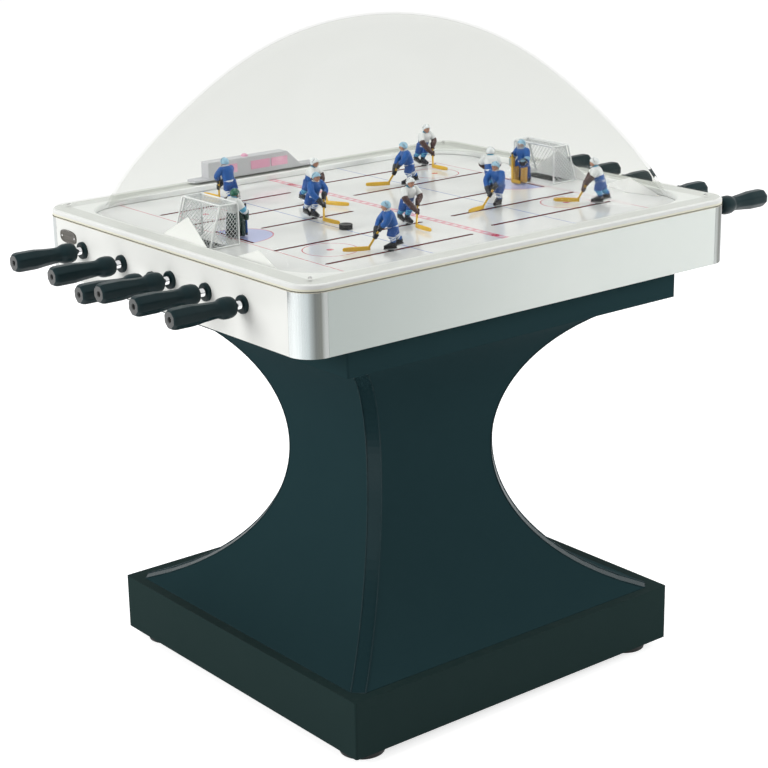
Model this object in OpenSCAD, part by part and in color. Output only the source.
// Rod hockey table: a domed rink on an hourglass pedestal, played from both ends with push-and-twist rods.
// X runs along the rods, Y across the table and Z up. The origin is on the floor under the middle of the rink.

/* [Pedestal] */
// Diameter of each round foot
foot_diameter = 82; // [60:1:96]
// Height of each round foot
foot_height = 20; // [12:1:40]
// Distance from the plinth's edges to the middle of a foot
foot_inset = 58; // [50:1:90]
// Length of the plinth and of the board on top of the pedestal
plinth_length = 780; // [700:5:860]
// Width of the plinth and of the board on top of the pedestal
plinth_width = 750; // [680:5:790]
// Height of the plinth
plinth_height = 110; // [80:1:140]
// Height of the waisted column
column_height = 590; // [520:5:660]
// How far the column's faces draw in at the waist
cove_depth = 215; // [150:1:240]
// Ledge that the plinth leaves around the column
cove_ledge = 20; // [8:1:40]
// Thickness of the four bent pedestal panels
panel_thickness = 12; // [8:1:18]
// Width of the bevelled strips along the pedestal's corners
strip_width = 26; // [18:1:40]
// Thickness of the board on top of the column
top_board_thickness = 58; // [36:1:80]

/* [Cabinet] */
// Outside length of the cabinet
cabinet_length = 1000; // [980:2:1080]
// Outside width of the cabinet
cabinet_width = 824; // [812:2:900]
// Height of the cabinet's walls
wall_height = 110; // [104:1:130]
// Thickness of the cabinet's walls
wall_thickness = 18; // [15:0.5:22]
// Radius of the rounded corner posts
corner_radius = 46; // [40:1:58]
// Thickness of the metal of the corner posts
post_thickness = 4; // [2:0.5:6]
// Thickness of the board that closes the cabinet's underside
floor_thickness = 12; // [9:1:18]
// Width of the square battens that carry the ice
cleat_width = 16; // [12:1:20]
// Thickness of the ice board
deck_thickness = 10; // [8:0.5:12]

/* [Rink] */
// Width of the frame around the ice
rim_width = 44; // [40:1:46]
// Thickness of the frame around the ice
rim_thickness = 12; // [8:1:16]
// Radius of the rink's corners
rink_corner_radius = 100; // [80:2:120]
// Height of the clear dome above its flange
dome_rise = 346; // [300:2:380]
// Thickness of the clear dome
dome_thickness = 4; // [3:0.5:6]
// Angle between the dome's wall and the level at its foot
dome_wall_angle = 85; // [75:1:88]
// Squareness of the dome's foot, where 2 is an ellipse
dome_squareness = 5.5; // [4:0.1:7]
// Diameter of the puck
puck_diameter = 25; // [20:1:28]
// Height of the puck
puck_height = 9; // [6:0.5:12]

/* [Goals] */
// Distance from the rink's end to a goal's mouth
goal_set_in = 79; // [77:1:84]
// Width of a goal
goal_width = 114; // [90:1:130]
// Height of a goal
goal_height = 77; // [60:1:90]
// Depth of a goal at the ice
goal_depth = 61; // [50:1:61]
// Depth of a goal at its crossbar
goal_top_depth = 38; // [24:1:46]
// Diameter of the goal's wire
goal_wire = 4.4; // [3:0.2:6]
// Thickness of a net's cord
net_cord = 1.4; // [1:0.1:2]

/* [Lanes] */
// Distance of the outer wing's lane from the rink's side
wing_set_in = 98; // [92:1:102]
// Distance of the inner wing's lane from the rink's side
inner_wing_set_in = 126; // [126:1:132]
// Distance of the defence lanes from the middle
defence_lane = 134; // [128:1:140]
// Distance of the centre's lane from the middle
centre_lane = 24; // [20:1:28]
// Distance of the goalie's rod from the middle
goalie_lane = 35; // [32:1:38]
// Distance of the goalie's cross slot from the goal's mouth
goalie_step = 28; // [27:1:32]
// Width of the slots in the ice
slot_width = 6; // [5.6:0.1:8]
// How far a goalie slides each way
goalie_travel = 40; // [30:1:42]

/* [Rods] */
// Diameter of the steel rods
rod_diameter = 14; // [12:0.5:15]
// Depth of the skaters' rods under the ice
rod_drop = 47; // [45:0.5:49]
// Depth of the goalies' rods under the ice
goalie_rod_drop = 59; // [57:0.5:61]
// Length of a grip
grip_length = 124; // [100:1:140]
// Diameter of a grip at its collar
grip_diameter = 37; // [32:0.5:42]
// Diameter of a rod bushing's collar
bushing_diameter = 32; // [28:0.5:36]
// How far a rod bushing stands out of the wall
bushing_proud = 7; // [6:0.5:12]
// Radial play of a shaft in its bore
running_play = 0.05; // [0.02:0.01:0.1]

/* [Figures] */
// Height of a skater, which scales the whole figure
skater_height = 88; // [80:1:92]
// Diameter of the peg that turns a figure
peg_diameter = 5; // [4:0.1:5]

/* [Scoreboard] */
// Length of the scoreboard's case along its foot
scoreboard_length = 232; // [210:2:260]
// Height of the scoreboard's case
scoreboard_height = 36; // [30:1:50]
// Depth of the scoreboard's case
scoreboard_depth = 27; // [22:1:28]
// How far the scoreboard's slanted end leans in
scoreboard_slant = 39; // [0:1:45]
// Distance of the scoreboard's middle from the middle of the rim
scoreboard_shift = -30; // [-100:1:100]

/* [Hidden] */
$fn = 48;
fit_gap = 0.2;

plinth_base = foot_height;
column_base = plinth_base + plinth_height;
column_middle = column_base + column_height / 2;
column_top = column_base + column_height;
cabinet_base = column_top + top_board_thickness;
ice_level = cabinet_base + wall_height;
deck_underside = ice_level - deck_thickness;
rim_top = ice_level + rim_thickness;
flange_top = rim_top + dome_thickness;
rod_level = ice_level - rod_drop;
goalie_rod_level = ice_level - goalie_rod_drop;

half_length = cabinet_length / 2;
half_width = cabinet_width / 2;
rink_length = cabinet_length - 2 * rim_width;
rink_width = cabinet_width - 2 * rim_width;
goal_line = rink_length / 2 - goal_set_in;
goalie_line = goal_line - goalie_step;
wing_lane = rink_width / 2 - wing_set_in;
inner_wing_lane = rink_width / 2 - inner_wing_set_in;
foot_x = plinth_length / 2 - foot_inset;
foot_y = plinth_width / 2 - foot_inset;
foot_stem = 10;
foot_stem_length = 30;
board_corner = 4;

// The coves are arcs that pass through the column's ends and its waist
waist_x = plinth_length / 2 - cove_ledge - cove_depth;
waist_y = plinth_width / 2 - cove_ledge - cove_depth;
cove_radius = (pow(cove_depth, 2) + pow(column_height / 2, 2)) / (2 * cove_depth);
mitre_shift = waist_x - waist_y;
strip_steps = 40;

// The moving gear: a sliding block under the ice holds a pair of mitre gears
rod_radius = rod_diameter / 2;
rod_bore = rod_radius + running_play;
peg_radius = peg_diameter / 2;
peg_bore = peg_radius + running_play;
gear_teeth = 12;
gear_radius = 11;
gear_face = 5;
gear_addendum = 1;
gear_dedendum = 1.2;
tooth_root_angle = 7;
tooth_tip_angle = 3.5;
block_back = 30;
block_front = 20;
block_half_width = 17;
block_wall = 8;
block_top_wall = 10;
block_bottom = -16;
block_top = rod_drop - deck_thickness - 1;
block_ceiling = block_top - block_top_wall;
key_back = 22;
key_front = 18;
key_width = slot_width - 0.6;
key_height = deck_thickness - 2;
slot_end_play = 4;
gear_overlap = 1;
rod_start = gear_radius + 1.4;
hub_radius = 8.8;
collar_radius = 11;
collar_width = 5;
grip_socket = grip_length * 0.65;
grip_stop = 5;

// Roles in one order throughout: left wing, centre, right wing, left defence, right defence.
// Places along a lane are measured from the middle of the rink towards the other team's end.
ROLES = ["left_wing", "centre", "right_wing", "left_defence", "right_defence"];
role_lane = [wing_lane, -centre_lane, -inner_wing_lane, defence_lane, -defence_lane];
drawn_rink_length = 912;
rink_share = rink_length / drawn_rink_length;
role_back = rink_share * [51, 90, 75, -330, -330];
role_front = rink_share * [326, 248, 324, -68, -50];

// Each team: name, turn of its end about the middle, places of its figures, and the way each one faces
TEAMS = [
    ["white", 0, rink_share * [318, 240, 316, -76, -58], [-91, 51, 135, -66, -97]],
    ["blue", 180, rink_share * [209, 152, 193, -160, -162], [-25, 90, -85, 12, -27]]
];

// Rack and pinion of the goalies: the rack runs above the skaters' rods
pinion_teeth = 24;
pinion_radius = gear_radius + goalie_rod_drop - rod_drop;
pinion_root_angle = 4.2;
pinion_tip_angle = 2.2;
pinion_width = 10;
pinion_dedendum = 1.8;
pinion_addendum = 1.5;
rack_offset = 23;
rack_line = goalie_line + rack_offset;
rack_pitch = 2 * PI * pinion_radius / pinion_teeth;
rack_bar = 8;
rack_overrun = 8;
rack_teeth = ceil((2 * goalie_travel + 2 * rack_overrun) / rack_pitch);
rack_tip = pinion_radius - 1.4;
rack_root = pinion_radius + 2;
shoe_half = 14;
figure_ease = 0.4;

// Puck at rest beside the blue centre
puck_place = [-163, -84];

// Shared shapes

module rounded_rectangle(length, width, radius) {
    square([length - 2 * radius, width], center = true);
    square([length, width - 2 * radius], center = true);
    for (x = [-1, 1], y = [-1, 1])
        translate([x * (length / 2 - radius), y * (width / 2 - radius)])
            circle(radius);
}

module four_corners(x, y) {
    for (side_x = [-1, 1], side_y = [-1, 1])
        translate([side_x * x, side_y * y, 0])
            children();
}

// A round bar between two points, with a ball at its far end
module limb(from, to, from_radius, to_radius, ball = 0) {
    run = to - from;
    reach = norm(run);
    translate(from)
        rotate([0, acos(run[2] / reach), atan2(run[1], run[0])])
            cylinder(h = reach, r1 = from_radius, r2 = to_radius);
    if (ball > 0)
        translate(to)
            sphere(ball);
}

module ball(place, radius) {
    translate(place)
        sphere(radius);
}

function gear_outline(teeth, root, tip, root_half, tip_half) = [
    for (tooth = [0 : teeth - 1])
        for (corner = [[root, -root_half], [tip, -tip_half], [tip, tip_half], [root, root_half]])
            let (angle = 360 * tooth / teeth + corner[1])
                corner[0] * [cos(angle), sin(angle)]
];

// One bevel gear of the mitre pair, its cone's tip at the origin and its back at gear_radius along +Z
module mitre_gear() {
    translate([0, 0, gear_radius])
        mirror([0, 0, 1])
            linear_extrude(gear_face, scale = (gear_radius - gear_face) / gear_radius)
                polygon(gear_outline(gear_teeth, gear_radius - gear_dedendum, gear_radius + gear_addendum,
                    tooth_root_angle, tooth_tip_angle));
}

// Pedestal

// A disc with a conical shoulder, screwed into the plinth by its stem
module levelling_feet() {
    shoulder = 6;
    pad_radius = foot_diameter / 2;
    color("dimgray")
        four_corners(foot_x, foot_y) {
            rotate_extrude()
                polygon([[0, 0], [pad_radius, 0], [pad_radius, foot_height - shoulder],
                    [pad_radius - shoulder, foot_height], [0, foot_height]]);
            translate([0, 0, foot_height - 1])
                cylinder(h = foot_stem_length + 1, d = foot_stem);
        }
}

module plinth() {
    color("black")
        translate([0, 0, plinth_base])
            difference() {
                linear_extrude(plinth_height)
                    rounded_rectangle(plinth_length, plinth_width, board_corner);
                four_corners(foot_x, foot_y)
                    translate([0, 0, -1])
                        cylinder(h = foot_stem_length + 2, d = foot_stem + 2 * fit_gap);
            }
}

// Half the column's length at a height
function cove_edge(waist, height) =
    waist + cove_radius - sqrt(pow(cove_radius, 2) - pow(height - column_middle, 2));

// Outline of a bent panel on the +X side, seen along the table's width
module cove_band(waist) {
    intersection() {
        translate([waist + cove_radius, column_middle])
            difference() {
                circle(cove_radius + panel_thickness, $fn = 180);
                circle(cove_radius, $fn = 180);
            }
        translate([waist - panel_thickness - 1, column_base])
            square([cove_depth + panel_thickness + 1, column_height]);
    }
}

// A bent panel on the +X side, cut to the mitre lines beside the corner strips
module pedestal_panel(waist, mitre_start) {
    reach = plinth_length;
    color("black")
        intersection() {
            rotate([90, 0, 0])
                linear_extrude(2 * reach, center = true)
                    cove_band(waist);
            translate([0, 0, column_base - 1])
                linear_extrude(column_height + 2)
                    polygon([[mitre_start, 0], [mitre_start + reach, -reach], [mitre_start + reach, reach]]);
        }
}

strip_half_cut = strip_width / 2 * sqrt(2);
mitre_start_x = mitre_shift + strip_half_cut + fit_gap;
mitre_start_y = -mitre_shift + strip_half_cut + fit_gap;

module pedestal_panel_left() {
    rotate([0, 0, 180])
        pedestal_panel(waist_x, mitre_start_x);
}

module pedestal_panel_right() {
    pedestal_panel(waist_x, mitre_start_x);
}

module pedestal_panel_front() {
    rotate([0, 0, -90])
        pedestal_panel(waist_y, mitre_start_y);
}

module pedestal_panel_back() {
    rotate([0, 0, 90])
        pedestal_panel(waist_y, mitre_start_y);
}

function strip_edge(height) = sqrt(2) * (cove_edge(waist_x, height) - mitre_shift) - strip_width / 2;

module pedestal_corner_strips() {
    heights = [for (step = [0 : strip_steps]) column_base + column_height * step / strip_steps];
    outer = [for (height = heights) [strip_edge(height), height]];
    inner = [for (step = [strip_steps : -1 : 0])
        [strip_edge(heights[step]) - panel_thickness, heights[step]]];
    color("black")
        for (flip_x = [0, 1], flip_y = [0, 1])
            mirror([flip_x, 0, 0])
                mirror([0, flip_y, 0])
                    translate([mitre_shift, 0, 0])
                        rotate([0, 0, 45])
                            rotate([90, 0, 0])
                                linear_extrude(strip_width, center = true)
                                    polygon(concat(outer, inner));
}

module pedestal_top_board() {
    color("black")
        translate([0, 0, column_top])
            linear_extrude(top_board_thickness)
                rounded_rectangle(plinth_length, plinth_width, board_corner);
}

// Cabinet

module cabinet_floor() {
    color("burlywood")
        translate([0, 0, cabinet_base])
            linear_extrude(floor_thickness)
                rounded_rectangle(cabinet_length - 2 * wall_thickness - 2 * fit_gap,
                    cabinet_width - 2 * wall_thickness - 2 * fit_gap, corner_radius - wall_thickness);
}

// Places every rod hole of one end: the five lanes and the goalie's rod below them
module rod_lanes() {
    for (lane = role_lane)
        translate([-half_length, lane, rod_level])
            rotate([0, 90, 0])
                children();
    translate([-half_length, goalie_lane, goalie_rod_level])
        rotate([0, 90, 0])
            children();
}

bushing_barrel = rod_radius + 4;

module end_panels() {
    color("whitesmoke")
        for (team = TEAMS)
            rotate([0, 0, team[1]])
                difference() {
                    translate([-half_length, -half_width + corner_radius, cabinet_base])
                        cube([wall_thickness, cabinet_width - 2 * corner_radius, wall_height]);
                    rod_lanes()
                        translate([0, 0, -1])
                            cylinder(h = wall_thickness + 2, r = bushing_barrel + running_play);
                }
}

module side_panels() {
    color("whitesmoke")
        for (turn = [0, 180])
            rotate([0, 0, turn])
                translate([-half_length + corner_radius, -half_width, cabinet_base])
                    cube([cabinet_length - 2 * corner_radius, wall_thickness, wall_height]);
}

// A hollow quarter-round post with returns that close the ends of the two walls
module corner_posts() {
    color("silver")
        for (flip_x = [0, 1], flip_y = [0, 1])
            mirror([flip_x, 0, 0])
                mirror([0, flip_y, 0])
                    translate([half_length - corner_radius, half_width - corner_radius, cabinet_base])
                        linear_extrude(wall_height)
                            intersection() {
                                difference() {
                                    circle(corner_radius);
                                    intersection() {
                                        circle(corner_radius - post_thickness);
                                        translate([post_thickness, post_thickness])
                                            square(corner_radius);
                                    }
                                    circle(corner_radius - wall_thickness);
                                }
                                square(corner_radius + 1);
                            }
}

module deck_cleats() {
    end_run = cabinet_width - 2 * corner_radius;
    side_run = cabinet_length - 2 * corner_radius;
    color("burlywood")
        for (turn = [0, 180])
            rotate([0, 0, turn]) {
                translate([-half_length + wall_thickness, -end_run / 2, deck_underside - cleat_width])
                    cube([cleat_width, end_run, cleat_width]);
                translate([-side_run / 2, -half_width + wall_thickness, deck_underside - cleat_width])
                    cube([side_run, cleat_width, cleat_width]);
            }
}

module lane_slot(from, to) {
    translate([from, -slot_width / 2])
        square([to - from, slot_width]);
    for (end = [from, to])
        translate([end, 0])
            circle(slot_width / 2);
}

module ice_deck() {
    color("aliceblue")
        translate([0, 0, deck_underside])
            linear_extrude(deck_thickness)
                difference() {
                    rounded_rectangle(cabinet_length - 2 * wall_thickness - 2 * fit_gap,
                        cabinet_width - 2 * wall_thickness - 2 * fit_gap, corner_radius - wall_thickness);
                    for (team = TEAMS)
                        rotate(team[1]) {
                            for (role = [0 : len(ROLES) - 1])
                                translate([0, role_lane[role]])
                                    lane_slot(role_back[role] - key_back - slot_end_play,
                                        role_front[role] + key_front + slot_end_play);
                            translate([-goalie_line, 0])
                                rotate(90)
                                    lane_slot(-goalie_travel - shoe_half - slot_end_play,
                                        goalie_travel + shoe_half + slot_end_play);
                        }
                }
}

// Rink

module rim_frame() {
    color("ivory")
        translate([0, 0, ice_level])
            linear_extrude(rim_thickness)
                difference() {
                    rounded_rectangle(cabinet_length, cabinet_width, corner_radius);
                    rounded_rectangle(rink_length, rink_width, rink_corner_radius);
                }
}

dome_sides = 60;
dome_rings = 11;
dome_foot_gap = 2;
flange_inset = 5;
flange_squareness = 16;
dome_soften = 5;
dome_ring_bias = 1.5;

// A level ring of points, from an ellipse at squareness 2 towards a rectangle
function squared_ring(half_x, half_y, squareness, height) = [
    for (side = [0 : dome_sides - 1])
        let (angle = 360 * side / dome_sides, power = 2 / squareness)
            [half_x * sign(cos(angle)) * pow(abs(cos(angle)), power),
                half_y * sign(sin(angle)) * pow(abs(sin(angle)), power), height]
];

// A ring of the dome at a share of its way up: the wall leans in and its outline rounds off
function dome_ring(share, half_x, half_y, rise, base) =
    let (lean = dome_wall_angle * (1 - share),
        size = sin(lean) / sin(dome_wall_angle),
        lift = (cos(lean) - cos(dome_wall_angle)) / (1 - cos(dome_wall_angle)),
        squareness = 2 + (dome_squareness - 2) * pow(1 - share, dome_soften))
    squared_ring(half_x * size, half_y * size, squareness, base + rise * lift);

// Triangles between two rings of points, and between a ring and a single point
function ring_band(lower, upper) = [
    for (side = [0 : dome_sides - 1])
        let (a = lower + side, b = lower + (side + 1) % dome_sides,
            c = upper + (side + 1) % dome_sides, d = upper + side)
            each [[a, c, b], [a, d, c]]
];

function ring_cap(ring, tip, inside) = [
    for (side = [0 : dome_sides - 1])
        let (a = ring + side, b = ring + (side + 1) % dome_sides)
            inside ? [a, b, tip] : [a, tip, b]
];

module dome() {
    outer_x = rink_length / 2 + dome_foot_gap + dome_thickness;
    outer_y = rink_width / 2 + dome_foot_gap + dome_thickness;
    shares = [for (ring = [0 : dome_rings - 1]) pow(ring / dome_rings, dome_ring_bias)];
    flange_x = half_length - flange_inset;
    flange_y = half_width - flange_inset;
    outer_rings = concat(
        [squared_ring(flange_x, flange_y, flange_squareness, rim_top),
            squared_ring(flange_x, flange_y, flange_squareness, flange_top)],
        [for (share = shares) dome_ring(share, outer_x, outer_y, dome_rise, flange_top)]
    );
    inner_rings = [for (ring = [dome_rings - 1 : -1 : 0])
        dome_ring(shares[ring], outer_x - dome_thickness, outer_y - dome_thickness, dome_rise, rim_top)];
    rings = concat(outer_rings, inner_rings);
    outer_count = len(outer_rings);
    ring_count = len(rings);
    top_tip = ring_count * dome_sides;
    points = concat([for (ring = rings) each ring],
        [[0, 0, flange_top + dome_rise], [0, 0, rim_top + dome_rise]]);
    faces = concat(
        [for (ring = [0 : ring_count - 2])
            if (ring != outer_count - 1)
                each ring_band(ring * dome_sides, (ring + 1) * dome_sides)],
        ring_band((ring_count - 1) * dome_sides, 0),
        ring_cap((outer_count - 1) * dome_sides, top_tip, false),
        ring_cap(outer_count * dome_sides, top_tip + 1, true)
    );
    color("lightcyan", 0.25)
        polyhedron(points, faces, convexity = 6);
}

module puck() {
    color("black")
        translate([puck_place[0], puck_place[1], ice_level + fit_gap])
            cylinder(h = puck_height, d = puck_diameter);
}

// Two wedges per end turn the puck out from behind the goal and out of the corner
module ramp(width, height, depth, lean) {
    polyhedron([[0, -width / 2, 0], [0, width / 2, 0], [depth, 0, 0], [lean, 0, height]],
        [[0, 2, 1], [0, 1, 3], [1, 2, 3], [2, 0, 3]]);
}

module puck_ramps() {
    back_width = 180;
    back_height = 52;
    back_depth = 15;
    back_lean = 13;
    corner_width = 156;
    corner_height = 28;
    corner_depth = 20;
    corner_lean = 8;
    corner_shift = -204;
    corner_set_in = 9;
    color("white")
        for (end = [0, 1])
            mirror([end, 0, 0])
                translate([-rink_length / 2 + fit_gap, 0, ice_level]) {
                    ramp(back_width, back_height, back_depth, back_lean);
                    translate([corner_set_in, corner_shift, 0])
                        ramp(corner_width, corner_height, corner_depth, corner_lean);
                }
}

// Goals

wire_radius = goal_wire / 2;
wire_ball = wire_radius * 1.15;
base_wire_level = wire_radius + 0.6;

module goal_frame() {
    half = goal_width / 2;
    top = goal_height - wire_radius;
    for (side = [-1, 1]) {
        y = side * half;
        limb([0, y, 0], [0, y, top], wire_radius, wire_radius, wire_ball);
        limb([0, y, top], [goal_top_depth, y, top], wire_radius, wire_radius, wire_ball);
        limb([0, y, base_wire_level], [goal_depth, y, base_wire_level], wire_radius, wire_radius, wire_ball);
        limb([goal_top_depth, y, top], [goal_depth, y, base_wire_level], wire_radius, wire_radius);
    }
    for (bar = [[0, top], [goal_top_depth, top], [goal_depth, base_wire_level]])
        limb([bar[0], -half, bar[1]], [bar[0], half, bar[1]], wire_radius, wire_radius);
}

module both_goals() {
    for (turn = [0, 180])
        rotate([0, 0, turn])
            translate([goal_line, 0, ice_level])
                children();
}

module goal_frames() {
    color("gainsboro")
        both_goals()
            goal_frame();
}

// A point of a four-sided panel, at shares of its two directions
function panel_point(corners, across, up) =
    (1 - up) * ((1 - across) * corners[0] + across * corners[1])
    + up * ((1 - across) * corners[3] + across * corners[2]);

// A four-sided flat net with a row of gaps each way
module net_panel(corners, columns, rows) {
    width = norm(corners[1] - corners[0]);
    height = norm(corners[3] - corners[0]);
    cord_across = net_cord / width;
    cord_up = net_cord / height;
    step_across = (1 - cord_across) / columns;
    step_up = (1 - cord_up) / rows;
    gaps = [for (column = [0 : columns - 1]) for (row = [0 : rows - 1])
        let (left = cord_across + column * step_across, right = (column + 1) * step_across,
            low = cord_up + row * step_up, high = (row + 1) * step_up)
            [for (corner = [[left, low], [right, low], [right, high], [left, high]])
                panel_point(corners, corner[0], corner[1])]];
    paths = concat([[0, 1, 2, 3]],
        [for (gap = [0 : len(gaps) - 1]) [for (corner = [0 : 3]) 4 + 4 * gap + corner]]);
    linear_extrude(net_cord)
        polygon(concat(corners, [for (gap = gaps) each gap]), paths);
}

// The net hangs inside the wire as four flat panels: two sides, a sloping back and a top
module goal_net() {
    inside = goal_width / 2 - wire_radius - fit_gap;
    between = inside - net_cord - fit_gap;
    ceiling = goal_height - goal_wire - fit_gap - net_cord;
    low = goal_wire + 1;
    front = wire_radius + fit_gap;
    back_top = goal_top_depth - wire_radius - fit_gap - net_cord;
    back_low = goal_depth - wire_radius - fit_gap - net_cord;
    side_top = ceiling - fit_gap;
    slope = atan2(back_low - back_top, side_top - low);
    run = norm([back_low - back_top, side_top - low]) - net_cord * tan(slope);
    for (side = [0, 1])
        mirror([0, side, 0])
            translate([0, inside, 0])
                rotate([90, 0, 0])
                    net_panel([[front, low], [back_low, low], [back_top, side_top], [front, side_top]], 4, 6);
    translate([back_low, 0, low])
        rotate([0, -slope, 0])
            rotate([90, 0, 90])
                net_panel([[-between, 0], [between, 0], [between, run], [-between, run]], 9, 6);
    translate([0, 0, ceiling])
        net_panel([[0, -inside], [goal_top_depth, -inside], [goal_top_depth, inside], [0, inside]], 3, 9);
}

module goal_nets() {
    color("white")
        both_goals()
            goal_net();
}

// Scoreboard on the far side of the rim, with one slanted end

scoreboard_front = half_width - flange_inset - 1 - scoreboard_depth;
scoreboard_foot = 5;

module scoreboard_case() {
    foot_length = scoreboard_length + 68;
    half = scoreboard_length / 2;
    color("lightgray")
        translate([scoreboard_shift, scoreboard_front, flange_top]) {
            translate([-foot_length / 2, 0, 0])
                cube([foot_length, scoreboard_depth, scoreboard_foot]);
            translate([0, scoreboard_depth, 0])
                rotate([90, 0, 0])
                    linear_extrude(scoreboard_depth)
                        polygon([[-half, 0], [half, 0], [half - scoreboard_slant, scoreboard_height],
                            [-half, scoreboard_height]]);
        }
}

module scoreboard_windows() {
    thickness = 1;
    window_height = 17;
    window_rise = scoreboard_foot + 5;
    window_places = [-62, 9, 56];
    window_lengths = [29, 46, 40];
    lamp_radius = 6;
    lamp_place = -20;
    color("palevioletred")
        translate([scoreboard_shift, scoreboard_front, flange_top]) {
            for (window = [0 : 2])
                translate([window_places[window] - window_lengths[window] / 2, -thickness, window_rise])
                    cube([window_lengths[window], thickness, window_height]);
            translate([lamp_place, scoreboard_depth / 2, scoreboard_height])
                intersection() {
                    translate([0, 0, -2])
                        sphere(lamp_radius + 2);
                    translate([0, 0, lamp_radius])
                        cube(2 * lamp_radius, center = true);
                }
        }
}

// Rods

module rod_bushings() {
    edge = 3;
    flange = bushing_diameter / 2;
    color("black")
        for (team = TEAMS)
            rotate([0, 0, team[1]])
                rod_lanes()
                    rotate_extrude()
                        difference() {
                            union() {
                                square([bushing_barrel, wall_thickness]);
                                translate([0, -bushing_proud + edge])
                                    square([flange, bushing_proud - edge]);
                                translate([0, -bushing_proud])
                                    square([flange - edge, edge + 1]);
                                translate([flange - edge, -bushing_proud + edge])
                                    circle(edge);
                            }
                            translate([0, -bushing_proud - 1])
                                square([rod_bore, bushing_proud + wall_thickness + 2]);
                        }
}

// A grip along +Z: a round collar, a neck and a flared body with eight flats
module grip() {
    collar = grip_diameter / 2;
    collar_length = 32;
    neck = collar * 0.78;
    flare_start = 40;
    flats = collar * 0.93;
    end_bore = 5;
    end_bore_depth = 8;
    difference() {
        intersection() {
            rotate_extrude()
                polygon([[0, 0], [collar * 0.7, 0], [collar * 0.93, 5], [collar, 12], [collar, 20],
                    [collar * 0.92, 27], [neck, collar_length], [neck, flare_start],
                    [collar * 0.9, flare_start + 26], [collar, flare_start + 40], [collar, grip_length - 6],
                    [collar * 0.8, grip_length], [0, grip_length]]);
            union() {
                cylinder(h = flare_start, r = collar + 1);
                rotate([0, 0, 22.5])
                    cylinder(h = grip_length + 1, r = flats / cos(22.5), $fn = 8);
            }
        }
        translate([0, 0, -1])
            cylinder(h = grip_socket + 1, r = rod_bore);
        translate([0, 0, grip_length - end_bore_depth])
            cylinder(h = end_bore_depth + 1, r = end_bore);
    }
}

// Length of a rod from the figure's peg to its grip, which stops just short of the bushing
function rod_length(front) = front + half_length + bushing_proud + grip_stop;

// Sets its children at a figure's peg, on the rod's line, in the team's own direction
module at_peg(team, role) {
    rotate([0, 0, team[1]])
        translate([team[2][role], role_lane[role], rod_level])
            children();
}

// A mitre gear with a hub that holds the rod's end
module rod_gear() {
    hub_end = block_back - block_wall - fit_gap;
    mitre_gear();
    rotate_extrude()
        polygon([[0, gear_radius - gear_overlap], [hub_radius, gear_radius - gear_overlap],
            [hub_radius, hub_end], [rod_bore, hub_end], [rod_bore, rod_start - fit_gap],
            [0, rod_start - fit_gap]]);
}

// A ring that keeps the rod's yoke between itself and the gear
module set_collar() {
    rotate_extrude()
        translate([rod_bore, block_back + fit_gap])
            square([collar_radius - rod_bore, collar_width]);
}

module skater_rod(team, role) {
    length = rod_length(role_front[role]);
    at_peg(team, role)
        rotate([0, -90, 0]) {
            color("silver") {
                rod_gear();
                set_collar();
                translate([0, 0, rod_start])
                    cylinder(h = length + grip_socket - fit_gap - rod_start, r = rod_radius);
            }
            color("black")
                translate([0, 0, length])
                    grip();
        }
}

// The yoke under the ice that the rod pulls along its slot
module skater_block(team, role) {
    length = block_back + block_front;
    front_wall = 6;
    color("dimgray")
        at_peg(team, role)
            difference() {
                union() {
                    translate([-block_back, -block_half_width, block_bottom])
                        cube([block_wall, 2 * block_half_width, block_top - block_bottom]);
                    translate([-block_back, -block_half_width, block_ceiling])
                        cube([length, 2 * block_half_width, block_top_wall]);
                    translate([block_front - front_wall, -block_half_width, block_bottom])
                        cube([front_wall, 2 * block_half_width, block_top - block_bottom]);
                    translate([-key_back, -key_width / 2, block_top - 1])
                        cube([key_back - 6, key_width, key_height + 1]);
                    translate([6, -key_width / 2, block_top - 1])
                        cube([key_front - 6, key_width, key_height + 1]);
                }
                translate([-block_back - 1, 0, 0])
                    rotate([0, 90, 0])
                        cylinder(h = block_wall + 2, r = rod_bore);
                translate([0, 0, block_ceiling - 1])
                    cylinder(h = block_top_wall + key_height + 2, r = peg_bore);
            }
}

// The drive under a skater: mitre gear, hub and the peg through the ice
module skater_drive() {
    hub = peg_radius + 4;
    flange = peg_radius + 3;
    flange_base = rod_drop + figure_ease;
    flange_level = flange_base + 2;
    rotate([0, 0, 180 / gear_teeth])
        mitre_gear();
    rotate_extrude()
        polygon([[0, gear_radius - gear_overlap], [hub, gear_radius - gear_overlap],
            [hub, block_ceiling - fit_gap], [peg_radius, block_ceiling - fit_gap], [peg_radius, flange_base],
            [flange, flange_base], [flange, flange_level], [0, flange_level]]);
}

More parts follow.
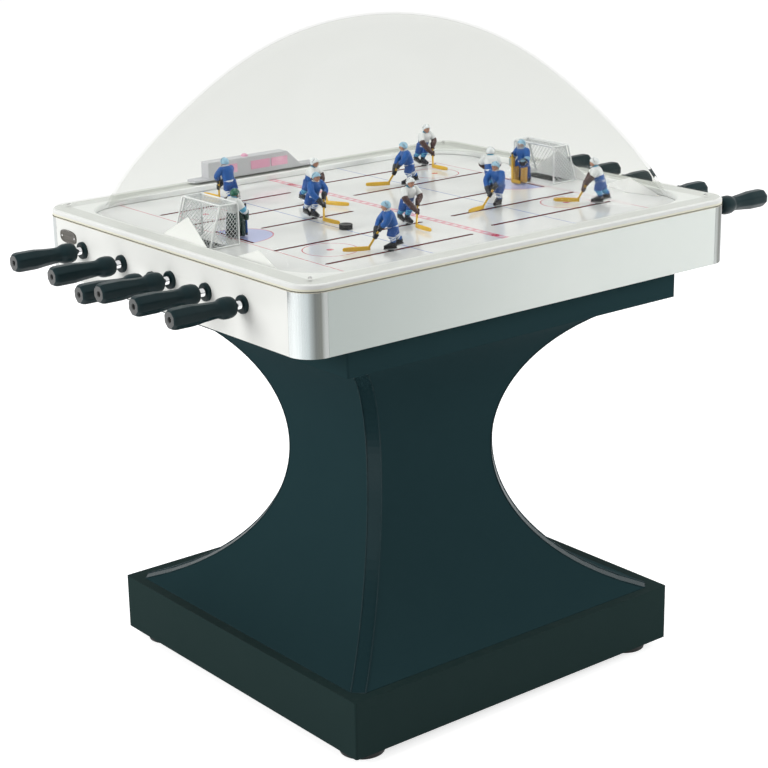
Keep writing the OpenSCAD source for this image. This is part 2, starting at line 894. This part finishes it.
// A skater leaning on the front skate, facing +X, with its blade flat on the ice
module skater_figure() {
    scale(skater_height / 88) {
        // Skates
        translate([-15, -1.4, 1])
            cube([31, 2.8, 5]);
        limb([-7, 0, 9], [9, 0, 8], 5.6, 4.8, 5.2);
        translate([-27, -9.4, 8])
            rotate([0, 14, 0])
                cube([24, 2.6, 5]);
        limb([-20, -8, 12], [-9, -8, 9.5], 5.2, 4.6, 5);
        // Legs
        limb([-5, 0, 9], [1, 2, 27], 5.4, 7.4, 7.6);
        limb([1, 2, 27], [-4, 3, 42], 7.2, 9);
        limb([-19, -8, 12], [-8, -7, 27], 5.2, 7.2, 7.4);
        limb([-8, -7, 27], [-5, -4, 42], 7, 9);
        // Pants, jersey and shoulders
        limb([-5, 0, 34], [-2, 0, 48], 11.5, 12.4);
        limb([-2.4, 0, 46], [5, 0, 66], 12, 13, 12.6);
        limb([5, -11, 66], [5, 11, 66], 6.6, 6.6, 6.8);
        ball([5, -11, 66], 6.8);
        // Arms and gloves
        limb([5, 12, 65], [13, 17, 52], 5.8, 5, 5.2);
        limb([13, 17, 52], [21, 6, 43], 4.8, 4, 5.4);
        limb([5, -12, 65], [16, -16, 51], 5.8, 5, 5.2);
        limb([16, -16, 51], [28, -1, 29], 4.8, 4, 5.4);
        // Head and helmet
        limb([6, 0, 66], [9, 0, 74], 5, 5);
        ball([9.6, 0, 76], 7.2);
        difference() {
            ball([8.4, 0, 79], 9);
            translate([10, -12, 60])
                cube([20, 24, 18.4]);
            translate([-12, -12, 58])
                cube([24, 24, 15.5]);
        }
        // Stick and blade
        limb([16, 10, 50], [38, -7, 6], 1.9, 1.9);
        translate([34, -8.5, 1])
            cube([50, 3.4, 8.4]);
    }
}

module skater_player(team, role) {
    color(team[0] == "white" ? "white" : "royalblue")
        at_peg(team, role) {
            skater_drive();
            translate([0, 0, rod_drop + figure_ease + fit_gap])
                rotate([0, 0, team[3][role]])
                    skater_figure();
        }
}

// Goalies

module goalie_rod(team) {
    length = half_length + bushing_proud + grip_stop + grip_length * 0.1;
    rack_end = -rack_line + pinion_width / 2;
    rotate([0, 0, team[1]])
        translate([0, goalie_lane, goalie_rod_level]) {
            color("silver") {
                translate([rack_end, 0, 0])
                    rotate([0, -90, 0])
                        cylinder(h = rack_end + length + grip_socket - fit_gap, r = rod_radius);
                translate([rack_end - pinion_width, 0, 0])
                    rotate([0, 90, 0])
                        rotate([0, 0, 180 / pinion_teeth * (rack_teeth % 2)])
                            linear_extrude(pinion_width)
                                polygon(gear_outline(pinion_teeth, pinion_radius - pinion_dedendum,
                                    pinion_radius + pinion_addendum, pinion_root_angle, pinion_tip_angle));
            }
            color("black")
                translate([-length, 0, 0])
                    rotate([0, -90, 0])
                        grip();
        }
}

module goalie_brackets() {
    plate = 8;
    half = 15;
    clearance = 5;
    plate_x = -rack_line - pinion_width / 2 - clearance - plate;
    foot = 20;
    foot_height = 6;
    drop = goalie_rod_drop - deck_thickness;
    color("dimgray")
        for (team = TEAMS)
            rotate([0, 0, team[1]])
                translate([plate_x, goalie_lane, goalie_rod_level])
                    difference() {
                        union() {
                            rotate([0, 90, 0])
                                cylinder(h = plate, r = half);
                            translate([0, -half, 0])
                                cube([plate, 2 * half, drop]);
                            translate([plate - foot, -half, drop - foot_height])
                                cube([foot, 2 * half, foot_height]);
                        }
                        translate([-1, 0, 0])
                            rotate([0, 90, 0])
                                cylinder(h = plate + 2, r = rod_bore);
                    }
}

// Outline of the rack, teeth down, starting at the first tooth's middle
function rack_outline() =
    let (run = rack_pitch * (rack_teeth - 1), low = rack_tip, root = rack_root,
        tip_half = 0.6, root_half = 1.5)
    concat(
        [[-rack_pitch / 2, root + rack_bar], [-rack_pitch / 2, root]],
        [for (tooth = [0 : rack_teeth - 1])
            each [[tooth * rack_pitch - root_half, root], [tooth * rack_pitch - tip_half, low],
                [tooth * rack_pitch + tip_half, low], [tooth * rack_pitch + root_half, root]]],
        [[run + rack_pitch / 2, root], [run + rack_pitch / 2, root + rack_bar]]
    );

// The rack under the ice, its shoe and the keys that run in the cross slot
module goalie_rack(team) {
    first_tooth = goalie_lane - rack_pitch * (rack_teeth - 1) / 2;
    shoe_base = rack_root + rack_bar - 1;
    shoe_top = goalie_rod_drop - deck_thickness - 1;
    shoe_length = rack_offset + pinion_width / 2 + slot_width + 4;
    key_gap = 5;
    color("dimgray")
        rotate([0, 0, team[1]])
            translate([-rack_line, 0, goalie_rod_level]) {
                translate([0, first_tooth, 0])
                    rotate([90, 0, 90])
                        linear_extrude(pinion_width, center = true)
                            polygon(rack_outline());
                difference() {
                    union() {
                        translate([-pinion_width / 2, -shoe_half, shoe_base])
                            cube([shoe_length, goalie_lane + shoe_half, shoe_top - shoe_base]);
                        for (side = [0, 1])
                            mirror([0, side, 0])
                                translate([rack_offset - key_width / 2, key_gap, shoe_top - 1])
                                    cube([key_width, shoe_half - key_gap, key_height + 1]);
                    }
                    translate([rack_offset, 0, shoe_base - 1])
                        cylinder(h = shoe_top - shoe_base + 2, r = peg_bore);
                }
            }
}

// A goalie square to the shooter, facing +X, with leg pads, blocker, catching glove and stick
module goalie_figure(team) {
    shoe_depth = goalie_rod_drop - rack_root - rack_bar;
    color(team[0] == "white" ? "white" : "royalblue")
        rotate([0, 0, team[1]])
            translate([-goalie_line, 0, ice_level]) {
                rotate_extrude()
                    polygon([[0, -shoe_depth], [peg_radius, -shoe_depth], [peg_radius, figure_ease],
                        [peg_radius + 3, figure_ease], [peg_radius + 3, 2], [0, 2]]);
                translate([0, 0, figure_ease])
                    scale(skater_height / 88)
                        goalie_body();
            }
}

module goalie_body() {
    translate([-8, -9, 0.8])
        cube([16, 18, 3]);
    for (side = [-1, 1]) {
        // Skate, pad and thigh
        translate([-10, side * 12 - 1.4, 0.6])
            cube([22, 2.8, 4]);
        limb([-6, side * 12, 6], [7, side * 12, 6], 4.6, 4.4, 4.6);
        translate([5, side * 12 - 7, 4])
            cube([8, 14, 30]);
        limb([9, side * 12, 33], [2, side * 9, 42], 6.2, 6.6);
        limb([0, side * 12, 8], [1, side * 11, 32], 6, 7);
        // Upper arm
        limb([3, side * 13, 64], [9, side * 20, 50], 6, 5.4, 5.6);
    }
    limb([-1, 0, 34], [0, 0, 48], 13, 14.6);
    limb([0, 0, 44], [3, 0, 66], 12.4, 13.4, 13);
    // Catching glove
    limb([9, 20, 50], [17, 19, 45], 5, 5);
    translate([18, 18, 45])
        rotate([0, 90, 20])
            cylinder(h = 5, r = 7.5, center = true);
    // Blocker and stick
    limb([9, -20, 50], [15, -17, 42], 5, 5);
    translate([13, -23, 32])
        cube([6, 14, 18]);
    limb([17, -14, 60], [22.4, -7, 4], 1.9, 1.9);
    translate([20.4, -10, 1])
        cube([3.6, 26, 8]);
    // Head and mask
    limb([3, 0, 66], [5, 0, 74], 5, 5);
    ball([5.6, 0, 78], 8.6);
    limb([8, 0, 75], [15, 0, 74], 6.4, 4.4);
}

levelling_feet();
plinth();
pedestal_panel_left();
pedestal_panel_right();
pedestal_panel_front();
pedestal_panel_back();
pedestal_corner_strips();
pedestal_top_board();
cabinet_floor();
end_panels();
side_panels();
corner_posts();
deck_cleats();
ice_deck();
rim_frame();
dome();
goal_frames();
goal_nets();
puck_ramps();
scoreboard_case();
scoreboard_windows();
rod_bushings();
goalie_brackets();
puck();
for (team = TEAMS) {
    for (role = [0 : len(ROLES) - 1]) {
        skater_rod(team, role);
        skater_block(team, role);
        skater_player(team, role);
    }
    goalie_rod(team);
    goalie_rack(team);
    goalie_figure(team);
}
